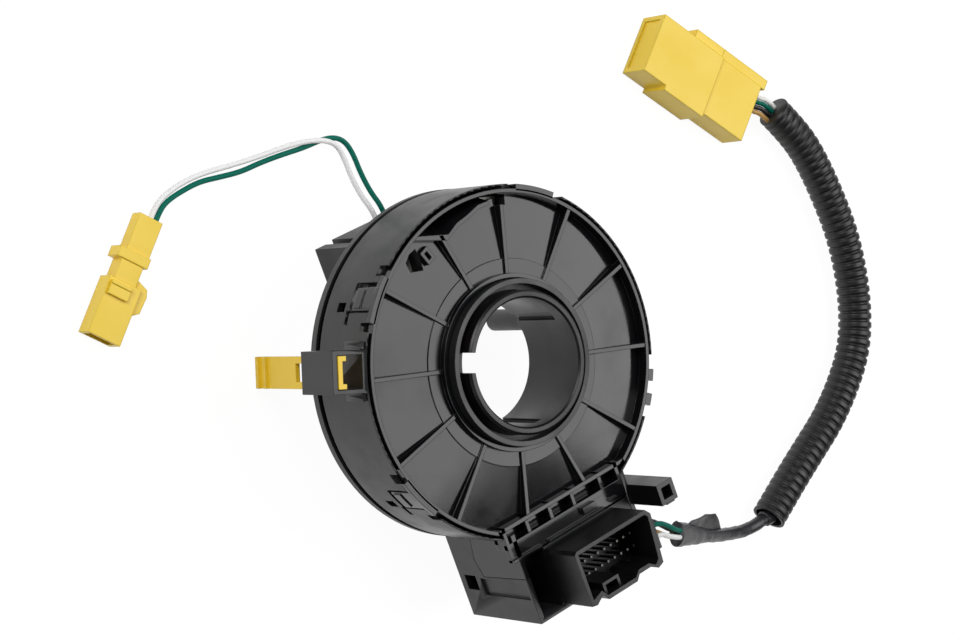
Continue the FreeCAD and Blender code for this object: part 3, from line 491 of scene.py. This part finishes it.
def laid_down(name, skins, openings=()):
    """One piece from several skins, each with the openings that reach it carved out."""
    def thing_of(mesh):
        thing = bpy.data.objects.new("shape", mesh)
        bpy.context.scene.collection.objects.link(thing)
        return thing

    def span(mesh):
        spots = np.zeros(len(mesh.vertices) * 3, np.float32)
        mesh.vertices.foreach_get("co", spots)
        spots = spots.reshape(-1, 3)
        return spots.min(axis=0), spots.max(axis=0)

    tools = [(thing_of(mesh), *span(mesh)) for mesh in openings]
    whole = bmesh.new()
    for mesh in skins:
        low, high = span(mesh)
        body = thing_of(mesh)
        for tool, tool_low, tool_high in tools:
            if (tool_low < high).all() and (tool_high > low).all():
                carve = body.modifiers.new("carve", "BOOLEAN")
                carve.operation, carve.solver, carve.object = "DIFFERENCE", "EXACT", tool
        kept = bpy.data.meshes.new_from_object(body.evaluated_get(bpy.context.evaluated_depsgraph_get()))
        whole.from_mesh(kept)
        bpy.data.objects.remove(body)
        bpy.data.meshes.remove(kept)
    for tool, _, _ in tools:
        bpy.data.objects.remove(tool)
    mesh = bpy.data.meshes.new(name)
    whole.to_mesh(mesh)
    whole.free()
    mesh.polygons.foreach_set("use_smooth", np.ones(len(mesh.polygons), bool))
    mesh.set_sharp_from_angle(angle=math.radians(SHARP))
    thing = bpy.data.objects.new(name, mesh)
    bpy.context.scene.collection.objects.link(thing)
    print(name, "has", len(mesh.polygons), "faces")
    return thing


# %% [markdown]
# A glossy floor mirrors its walls, which can make a dish look deeper than it is. On that guess this dish
# is shallower than the CAD model's tray, whose floor lies 6.3 mm below the rim. Its depths are chosen and
# not measured, so sizes are read from the CAD model. The floor falls a little towards the rim.

# %% The ribbed dish
RIM, RIM_IN, UNDER = 50.0, 48.9, -7.9
CHAMBER, CHAMBER_TOP = 28.2, -4.9
COLLAR, COLLAR_IN, COLLAR_TOP = 25.7, 24.4, 0.8
PLATEAU, PLATEAU_EDGE, FLOOR_HUB, FLOOR_RIM = -0.9, 30.0, -1.25, -3.3
RIB_TOP, RIB_WIDE = -0.25, 1.2
CHORD, CHORD_WALL = 42.0, 1.2
dish = lathed([
    (COLLAR_IN, COLLAR_TOP), (COLLAR, COLLAR_TOP), (COLLAR, PLATEAU), (PLATEAU_EDGE, PLATEAU),
    (PLATEAU_EDGE, FLOOR_HUB), (RIM_IN, FLOOR_RIM), (RIM_IN, 0), (RIM, 0), (RIM, UNDER),
    (CHAMBER, UNDER), (CHAMBER, CHAMBER_TOP), (COLLAR_IN, CHAMBER_TOP)])
RIB_COUNT, FIRST_RIB = 12, 12.5
ribs_of_tray = [spoke(FIRST_RIB + 360 / RIB_COUNT * k, COLLAR - 0.6, RIM_IN + 0.1, RIB_WIDE,
                      FLOOR_RIM - 0.5, RIB_TOP) for k in range(RIB_COUNT)]
beyond_chord = block(-60, 60, -60, -(CHORD + CHORD_WALL), -60, 20)

# the window beside the rim, its wall and the dark opening at its wide end. A border point is an angle and
# an inset from the rim's inner face, and the window ends at WIDE_END
WIDE_END = 111.9
BORDER = ((70.0, 0.9), (78.0, 1.8), (82.8, 2.2), (88.4, 3.8), (94.0, 4.5), (99.4, 5.9))
edge_of_window = [polar(RIM_IN - inset, angle) for angle, inset in BORDER]
wide_end = polar(RIM - 0.1, WIDE_END)
window = raised(edge_of_window + [polar(RIM_IN, WIDE_END)]
                + [polar(RIM_IN, angle) for angle in np.arange(110.0, 70.0, -2.0)], UNDER - 1, 1)
wall_outside = edge_of_window[1:] + [wide_end]
wall_inside = [polar(RIM_IN - inset - RIB_WIDE, angle) for angle, inset in BORDER[1:-1]]
wall_inside += [polar(RIM_IN - 7.2, 101.0), polar(RIM - 0.1, 113.5)]
foot_outside = [polar(RIM_IN - max(inset - 3.0, 0.4), angle) for angle, inset in BORDER[1:]] + [wide_end]
window_wall = skin_of(np.stack([
    np.hstack([np.array(plan), np.full((len(plan), 1), level)])
    for plan, level in ((foot_outside + wall_inside[::-1], UNDER + 1.5),
                        (wall_outside + wall_inside[::-1], RIB_TOP))]))
DARK = ((112.6, 3.1), (114.3, 6.6), (116.3, 8.8), (120.5, 6.0), (119.0, 3.4), (115.8, 2.7))
dark_opening = raised([polar(RIM_IN - inset, angle) for angle, inset in DARK], UNDER - 1, 1)
notch = sector(RIM_IN - 3.4, RIM_IN - 0.3, UNDER - 1, 1, 68.5, 5.3)
STAPLE = 111.5
staple = spoke(STAPLE, RIM_IN - 8.7, RIM_IN - 4.3, 3.2, FLOOR_RIM - 0.2, FLOOR_RIM + 2.4)
staple_hole = spoke(STAPLE, RIM_IN - 7.7, RIM_IN - 5.3, 1.2, FLOOR_RIM, 1)

# the chord's wall, the shelf with its pockets, and the panel that hangs beside the bay
SHELF_LEFT, SHELF_RIGHT, SHELF_FAR, POCKET_FAR = -24.0, 22.0, -52.5, -47.0
chord_wall = block(SHELF_LEFT - 1.2, SHELF_RIGHT + 3.2, -(CHORD + CHORD_WALL), -CHORD, UNDER, 0)
shelf = [block(SHELF_LEFT, SHELF_RIGHT, SHELF_FAR, POCKET_FAR, -1.6, 0),
         block(SHELF_LEFT, SHELF_RIGHT, POCKET_FAR - 1.6, -(CHORD + CHORD_WALL) + 0.1, -5.6, -4.0),
         block(SHELF_LEFT, SHELF_RIGHT, POCKET_FAR - 1.6, POCKET_FAR, -4.1, -0.1),
         block(SHELF_LEFT, SHELF_LEFT + 1.2, POCKET_FAR, -CHORD, -5.5, 0),
         block(SHELF_RIGHT - 1.2, SHELF_RIGHT, POCKET_FAR, -CHORD, -5.5, 0)]
shelf += [block(x - 0.6, x + 0.6, POCKET_FAR - 0.1, -CHORD, -4.1, RIB_TOP) for x in (-14.6, -5.6, 3.4, 14.6)]
shelf += [block(4.3, 9.4, SHELF_FAR + 1.9, SHELF_FAR + 4.0, -1.6, 1.4),
          raised([(14.3, SHELF_FAR + 1.9), (18.4, SHELF_FAR + 0.1), (18.0, SHELF_FAR + 1.7)], -1.6, 0.8),
          block(-10, 12, SHELF_FAR, SHELF_FAR + 0.8, -1.6, 1.0),
          block(SHELF_LEFT, -13, SHELF_FAR, SHELF_FAR + 0.8, -1.6, 1.0)]
side_view = [(-45.0, 0.0), (-45.8, -20.6), (-54.1, -22.5), (-59.4, -20.6), (-58.7, 0.0)]
hanging = skin_of(np.stack([np.array([(x, y, z) for y, z in side_view]) for x in (-21.7, -20.2)]))
drum_clear = lathed([(0.01, -23.5), (51.7, -23.5), (51.7, -5.5), (0.01, -5.5)])

# the three tongues that snap over the band, each with a bridge and a raised face, and two teeth
SNAPS, BAND_OUT = (136.4, -154.5, 58.5), 51.4
TOOTH_OUT = ((51.9, -29.8), (52.2, -38.0))
snaps = []
for angle in SNAPS:
    snaps += [sector(RIM - 0.5, BAND_OUT, -1.6, 0, angle - 7.8, 15.6),
              sector(RIM + 0.4, BAND_OUT, -10.5, -0.1, angle - 3.8, 7.6),
              sector(BAND_OUT - 0.2, BAND_OUT + 0.35, -9.6, -6.4, angle - 3.0, 6.0)]
snaps += [sector(RIM - 0.5, far, -3.4, -0.2, start, 4.0) for far, start in TOOTH_OUT]
face = laid_down("ribbed_dish", [dish] + ribs_of_tray, [beyond_chord, window, dark_opening, notch])
rest_of_face = laid_down("dish_fittings", [chord_wall, window_wall, staple] + shelf + snaps, [staple_hole])
panel = laid_down("bay_panel", [hanging], [drum_clear])

# %% [markdown]
# The band round the drum has a window under each tongue and slots round it, and it is open at the two
# teeth. Its copy is merged first, because the CAD mesh is loose triangles, and then carved.

# %% The band with its windows
merged = bmesh.new()
merged.from_mesh(solids["stator_band"].data)
bmesh.ops.remove_doubles(merged, verts=merged.verts, dist=1e-6)
band_skin = bpy.data.meshes.new("band_skin")
merged.to_mesh(band_skin)
merged.free()
SLOT_IN, SLOT_OUT = 50.2, 53.0
# a slot is two levels, where it starts beside its tongue's angle, and how far it sweeps
SLOTS = ((-4.3, 1.0, 7.8, 2.9), (-4.3, 1.0, -11.6, 3.8), (-11.4, -1.7, -4.6, 0.8),
         (-11.4, -1.7, 3.8, 0.8), (-11.4, -10.5, -4.6, 9.2), (-13.0, -11.3, 3.8, 4.6))
slots = [sector(SLOT_IN, SLOT_OUT, -4.4, 1.0, -42.0, 21.0)]
for angle in SNAPS:
    slots.append(sector(48.0, SLOT_OUT, -18.1, -14.2, angle + 1.0, 3.1))
    slots += [sector(SLOT_IN, SLOT_OUT, low, high, angle + start, sweep) for low, high, start, sweep in SLOTS]
bay_strip = block(-23.0, -20.9, -65.6, -60.2, -23.2, -1.0)
bay_hole = block(-23.0, -19.0, -64.4, -59.6, -31.0, -25.4)
slots += [bay_strip, bay_hole]
band = laid_down("drum_band", [band_skin], slots)

# %% [markdown]
# The band's long thin triangles would shade unevenly, because a smooth normal is a mean over its faces. On
# the round faces the true normal is known: it points straight away from the axis.

# %% True normals for the round faces
# the cosine above which a face counts as looking along the radius: within 13 degrees of it
STRAIGHT_OUT = 0.975


def true_round(mesh, near, far):
    """Corner normals of faces that look along the radius, between two radii: (x, y, 0) / sqrt(x x + y y)."""
    spots = np.zeros((len(mesh.vertices), 3), np.float32)
    looks = np.zeros((len(mesh.polygons), 3), np.float32)
    corner, count = np.zeros((len(mesh.loops), 3), np.float32), np.zeros(len(mesh.polygons), np.int32)
    owner = np.zeros(len(mesh.loops), np.int32)
    mesh.vertices.foreach_get("co", spots.reshape(-1))
    mesh.polygons.foreach_get("normal", looks.reshape(-1))
    mesh.polygons.foreach_get("loop_total", count)
    mesh.corner_normals.foreach_get("vector", corner.reshape(-1))
    mesh.loops.foreach_get("vertex_index", owner)
    place, look = spots[owner] * [1, 1, 0], np.repeat(looks, count, axis=0)
    radius = np.linalg.norm(place, axis=1)
    away = place / radius[:, None]
    along = (look * away).sum(axis=1)
    round_face = (np.abs(along) > STRAIGHT_OUT) & (radius > near * MILLI) & (radius < far * MILLI)
    corner[round_face] = (away * np.sign(along)[:, None])[round_face]
    mesh.normals_split_custom_set(corner.tolist())
    print(int(round_face.sum()), "corners of", mesh.name, "look straight out or in")


BAND_NEAR, BAND_FAR = 49.9, 51.6
true_round(band.data, BAND_NEAR, BAND_FAR)

# %% [markdown]
# Moulded plastic is never one even tone. It has a fine grain from the tool, faint smudges from handling
# and softly rounded, slightly rubbed edges. These effects are shared by all the moulded pieces, so they
# are node groups, placed in each material with its own amounts. The groups give only masks, heights and
# normals, and the shader stays in the material.

# %% Shared effects as node groups
def new_group(name, inputs, outputs):
    """A node group with named sockets: the group, its input node and its output node."""
    group = bpy.data.node_groups.new(name, "ShaderNodeTree")
    for label, kind, value in inputs:
        socket = group.interface.new_socket(label, in_out="INPUT", socket_type=kind)
        if value is not None:
            socket.default_value = value
    for label, kind in outputs:
        group.interface.new_socket(label, in_out="OUTPUT", socket_type=kind)
    return group, group.nodes.new("NodeGroupInput"), group.nodes.new("NodeGroupOutput")


grain_group, gi, go = new_group(
    "moulding_grain",
    [("Place", "NodeSocketVector", None), ("Grain", "NodeSocketFloat", 2400.0),
     ("Smudge", "NodeSocketFloat", 60.0)],
    [("Height", "NodeSocketFloat"), ("Smudges", "NodeSocketFloat"), ("Flow", "NodeSocketFloat")])
fine = grain_group.nodes.new("ShaderNodeTexNoise")
fine.inputs["Detail"].default_value = 2.0
smudge = grain_group.nodes.new("ShaderNodeTexNoise")
smudge.inputs["Detail"].default_value = 5.0
smudge.inputs["Roughness"].default_value = 0.6
ramp = grain_group.nodes.new("ShaderNodeMapRange")
ramp.inputs["From Min"].default_value = 0.42
ramp.inputs["From Max"].default_value = 0.72
flow = grain_group.nodes.new("ShaderNodeTexNoise")
flow.inputs["Scale"].default_value = 18.0
flow.inputs["Detail"].default_value = 1.0
grain_group.links.new(gi.outputs["Place"], fine.inputs["Vector"])
grain_group.links.new(gi.outputs["Grain"], fine.inputs["Scale"])
grain_group.links.new(gi.outputs["Place"], smudge.inputs["Vector"])
grain_group.links.new(gi.outputs["Smudge"], smudge.inputs["Scale"])
grain_group.links.new(gi.outputs["Place"], flow.inputs["Vector"])
grain_group.links.new(smudge.outputs["Fac"], ramp.inputs["Value"])
grain_group.links.new(fine.outputs["Fac"], go.inputs["Height"])
grain_group.links.new(ramp.outputs["Result"], go.inputs["Smudges"])
grain_group.links.new(flow.outputs["Fac"], go.inputs["Flow"])

edge_group, gi, go = new_group(
    "rounded_edge",
    [("Radius", "NodeSocketFloat", 0.0003)],
    [("Normal", "NodeSocketVector"), ("Edge", "NodeSocketFloat")])
bevel = edge_group.nodes.new("ShaderNodeBevel")
bevel.samples = 6
truth = edge_group.nodes.new("ShaderNodeNewGeometry")
dot = edge_group.nodes.new("ShaderNodeVectorMath")
dot.operation = "DOT_PRODUCT"
turned = edge_group.nodes.new("ShaderNodeMapRange")
turned.inputs["From Min"].default_value = 0.995
turned.inputs["From Max"].default_value = 0.80
edge_group.links.new(gi.outputs["Radius"], bevel.inputs["Radius"])
edge_group.links.new(bevel.outputs["Normal"], dot.inputs[0])
edge_group.links.new(truth.outputs["True Normal"], dot.inputs[1])
edge_group.links.new(dot.outputs["Value"], turned.inputs["Value"])
edge_group.links.new(bevel.outputs["Normal"], go.inputs["Normal"])
edge_group.links.new(turned.outputs["Result"], go.inputs["Edge"])
print("node groups:", [g.name for g in bpy.data.node_groups])

# %% [markdown]
# One recipe serves all the moulded pieces: a base colour that drifts a little, edges rubbed lighter,
# roughness that the smudges raise, and a bump from the grain on top of the rounded edges' normal.

# %% The moulded plastics
def moulded(name, colour, rubbed, rough, smudged, grain=2600.0, depth=0.03, radius=0.0003, drift=0.25,
            specular=0.5, smudge=60.0):
    """A Principled material: colour mixed towards rubbed by the edge mask, roughness between rough and
    smudged by the smudge mask, bump of the grain over the rounded normal."""
    material, nodes, links = nodes_of(name)
    place = nodes.new("ShaderNodeTexCoord")
    grains = nodes.new("ShaderNodeGroup")
    grains.node_tree = grain_group
    grains.inputs["Grain"].default_value = grain
    grains.inputs["Smudge"].default_value = smudge
    edges = nodes.new("ShaderNodeGroup")
    edges.node_tree = edge_group
    edges.inputs["Radius"].default_value = radius
    links.new(place.outputs["Object"], grains.inputs["Place"])
    drifting = nodes.new("ShaderNodeMix")
    drifting.data_type = "RGBA"
    drifting.inputs["A"].default_value = (*[c * (1 - drift) for c in colour], 1)
    drifting.inputs["B"].default_value = (*[min(1, c * (1 + drift)) for c in colour], 1)
    links.new(grains.outputs["Flow"], drifting.inputs["Factor"])
    rubbing = nodes.new("ShaderNodeMix")
    rubbing.data_type = "RGBA"
    rubbing.inputs["B"].default_value = (*rubbed, 1)
    worn = nodes.new("ShaderNodeMath")
    worn.operation = "MULTIPLY"
    worn.inputs[1].default_value = 0.55
    links.new(edges.outputs["Edge"], worn.inputs[0])
    links.new(worn.outputs[0], rubbing.inputs["Factor"])
    links.new(drifting.outputs["Result"], rubbing.inputs["A"])
    gloss = nodes.new("ShaderNodeMapRange")
    gloss.inputs["To Min"].default_value = rough
    gloss.inputs["To Max"].default_value = smudged
    links.new(grains.outputs["Smudges"], gloss.inputs["Value"])
    bump = nodes.new("ShaderNodeBump")
    bump.inputs["Strength"].default_value = depth * 10
    bump.inputs["Distance"].default_value = 0.00003
    links.new(grains.outputs["Height"], bump.inputs["Height"])
    links.new(edges.outputs["Normal"], bump.inputs["Normal"])
    shader = nodes.new("ShaderNodeBsdfPrincipled")
    shader.inputs["Specular IOR Level"].default_value = specular
    shader.inputs["IOR"].default_value = 1.5
    out = nodes.new("ShaderNodeOutputMaterial")
    links.new(rubbing.outputs["Result"], shader.inputs["Base Color"])
    links.new(gloss.outputs["Result"], shader.inputs["Roughness"])
    links.new(bump.outputs["Normal"], shader.inputs["Normal"])
    links.new(shader.outputs["BSDF"], out.inputs["Surface"])
    return material


BLACK, GREY_EDGE = (0.008, 0.008, 0.009), (0.022, 0.022, 0.024)
finishes = {
    "tray_black": moulded("tray_black", (0.006, 0.006, 0.007), GREY_EDGE, 0.09, 0.26, smudge=38.0),
    "band_black": moulded("band_black", BLACK, GREY_EDGE, 0.34, 0.48, grain=2200.0, smudge=70.0),
    "insert_black": moulded("insert_black", (0.004, 0.004, 0.005), GREY_EDGE, 0.36, 0.5),
    "side_socket_black": moulded("side_socket_black", (0.006, 0.006, 0.007), GREY_EDGE, 0.34, 0.5),
    "rotor_black": moulded("rotor_black", (0.006, 0.006, 0.007), GREY_EDGE, 0.46, 0.6, specular=0.8),
    "sleeve_black": moulded("sleeve_black", (0.006, 0.005, 0.005), (0.022, 0.020, 0.020), 0.30, 0.46,
                            specular=0.4),
    "tower_black": moulded("tower_black", BLACK, GREY_EDGE, 0.42, 0.58, specular=0.35),
    "clip_yellow": moulded("clip_yellow", (0.92, 0.62, 0.030), (0.94, 0.70, 0.08), 0.34, 0.48, drift=0.05),
    "plug_yellow": moulded("plug_yellow", (0.94, 0.66, 0.035), (0.95, 0.74, 0.09), 0.36, 0.5, drift=0.04,
                           radius=0.0005),
    "inline_yellow": moulded("inline_yellow", (0.94, 0.66, 0.035), (0.96, 0.75, 0.10), 0.36, 0.5, drift=0.04,
                             radius=0.0007),
    "terminal_natural": moulded("terminal_natural", (0.62, 0.58, 0.48), (0.7, 0.66, 0.56), 0.4, 0.5,
                                drift=0.06),
    "slip_film": moulded("slip_film", (0.5, 0.5, 0.47), (0.55, 0.55, 0.52), 0.28, 0.36, radius=0.0001,
                         drift=0.05),
    "ribbon_laminate": moulded("ribbon_laminate", (0.03, 0.03, 0.036), (0.06, 0.06, 0.07), 0.2, 0.3,
                               radius=0.0001),
    "conduit_black": moulded("conduit_black", (0.010, 0.010, 0.011), (0.02, 0.02, 0.02), 0.40, 0.56,
                             depth=0.05, radius=0.0001),
    "green_jacket": moulded("green_jacket", (0.0, 0.15, 0.105), (0.002, 0.18, 0.12), 0.50, 0.6, depth=0.005,
                            radius=0.00005, drift=0.08, specular=0.15),
    "white_jacket": moulded("white_jacket", (0.95, 0.95, 0.95), (0.96, 0.96, 0.96), 0.38, 0.48, depth=0.005,
                            radius=0.00005, drift=0.01),
    "black_jacket": moulded("black_jacket", (0.010, 0.010, 0.010), (0.02, 0.02, 0.02), 0.34, 0.44,
                            radius=0.00005),
    "tan_jacket": moulded("tan_jacket", (0.52, 0.30, 0.08), (0.6, 0.4, 0.16), 0.40, 0.5, radius=0.00005,
                          drift=0.06),
    "binding_tape": moulded("binding_tape", (0.024, 0.024, 0.028), (0.05, 0.05, 0.055), 0.34, 0.55,
                            depth=0.08, radius=0.0001, smudge=160.0),
}

# %% [markdown]
# The contacts are tinned brass blades. Metal takes its colour from its reflection, so the shader is
# metallic, with fine marks drawn along the blade by a stretched noise. The blades sit deep in their
# shrouds, and that shade is painted into them: their base colour is far darker than real tin.

# %% The tinned contacts
material, nodes, links = nodes_of("tinned_blade_painted_dark")
place = nodes.new("ShaderNodeTexCoord")
stretch = nodes.new("ShaderNodeMapping")
stretch.inputs["Scale"].default_value = (3000.0, 3000.0, 200.0)
marks = nodes.new("ShaderNodeTexNoise")
marks.inputs["Scale"].default_value = 1.0
gloss = nodes.new("ShaderNodeMapRange")
gloss.inputs["To Min"].default_value = 0.22
gloss.inputs["To Max"].default_value = 0.42
shader = nodes.new("ShaderNodeBsdfPrincipled")
# painted shade: this base colour is far darker than tin, standing in for the shade inside the shrouds
shader.inputs["Base Color"].default_value = (0.07, 0.068, 0.064, 1)
shader.inputs["Metallic"].default_value = 1.0
out = nodes.new("ShaderNodeOutputMaterial")
links.new(place.outputs["Object"], stretch.inputs["Vector"])
links.new(stretch.outputs["Vector"], marks.inputs["Vector"])
links.new(marks.outputs["Fac"], gloss.inputs["Value"])
links.new(gloss.outputs["Result"], shader.inputs["Roughness"])
links.new(shader.outputs["BSDF"], out.inputs["Surface"])
finishes["tinned_blade_painted_dark"] = material

# %% [markdown]
# Every solid of the model gets the finish of its real piece. The solids keep their meshes: only their
# material changes.

# %% Finishes onto the solids
FINISH_OF = {
    "stator_tray": "tray_black", "stator_band": "band_black",
    "connector_block": "insert_black", "main_terminals": "tinned_blade_painted_dark",
    "side_connector": "side_socket_black", "side_terminals": "tinned_blade_painted_dark",
    "harness_outlet": "insert_black", "lock_clip": "clip_yellow",
    "slip_sheet_upper": "slip_film", "slip_sheet_lower": "slip_film", "flat_cable": "ribbon_laminate",
    "outer_cable_terminal": "terminal_natural", "inner_cable_terminal": "terminal_natural",
    "rotor_body": "rotor_black", "cancel_sleeve": "sleeve_black",
    "rotor_connector_block": "tower_black", "rotor_terminals": "tinned_blade_painted_dark",
    "airbag_plug": "plug_yellow", "plug_retainer": "plug_yellow", "plug_terminals": "tinned_blade_painted_dark",
    "inline_connector": "inline_yellow", "inline_retainer": "inline_yellow",
    "inline_terminals": "tinned_blade_painted_dark",
    "tape_wrap": "binding_tape", "conduit_tape": "binding_tape", "conduit": "conduit_black",
}
for label, solid in solids.items():
    colour = label.rsplit("_", 1)[-1]
    finish = FINISH_OF.get(label) or colour + "_jacket"
    solid.data.materials.clear()
    solid.data.materials.append(finishes[finish])

# %% [markdown]
# The in-line connector is seen from its closed side, so its mouth has a plate a little way in.

# %% The plate in the connector's mouth
INLINE_PLACE, INLINE_TURN = np.array((115.8, 60.7)), math.radians(-49.4)
ahead = np.array((math.cos(INLINE_TURN), math.sin(INLINE_TURN)))
aside = np.array((-ahead[1], ahead[0]))
PLATE_LOW, PLATE_HIGH = -44.5, -36.5
corners = [INLINE_PLACE + a * ahead + b * aside
           for a, b in ((0.5, -8.1), (7.6, -8.1), (7.6, 9.5), (0.5, 9.5))]
plate = laid_down("connector_plate", [raised(corners, PLATE_LOW, PLATE_HIGH)])
plate.data.materials.append(finishes["inline_yellow"])
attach(plate, "stator")

# %% [markdown]
# The carved face and band take their finish too, and each replaces the solid that it was made for.

# %% The face and the band in their places
for piece in (face, rest_of_face, panel):
    piece.data.materials.append(finishes["tray_black"])
    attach(piece, "stator")
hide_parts("stator_tray")
band.data.materials.clear()
band.data.materials.append(finishes["band_black"])
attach(band, "stator")
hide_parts("stator_band")

# %% [markdown]
# The cords replace the CAD model's plain tubes, and each takes the finish of its jacket.

# %% Cords set in place
for label, jacket in wires.items():
    jacket.data.materials.append(finishes[label.rsplit("_", 1)[-1] + "_jacket"])
    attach(jacket, "stator")
    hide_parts(label)

for thing, label, finish, slot in ((conduit, "conduit", "conduit_black", "conduit_plastic"),
                                   (tape, "tape_wrap", "binding_tape", "black_tape"),
                                   (foot, "conduit_tape", "binding_tape", "black_tape")):
    thing.data.materials.append(finishes[finish])
    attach(thing, "stator")
    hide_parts(label)

flag.data.materials.append(finishes["binding_tape"])
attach(flag, "stator")

for label in ("airbag_wire_green", "airbag_wire_white"):
    length_of(line_of(label))
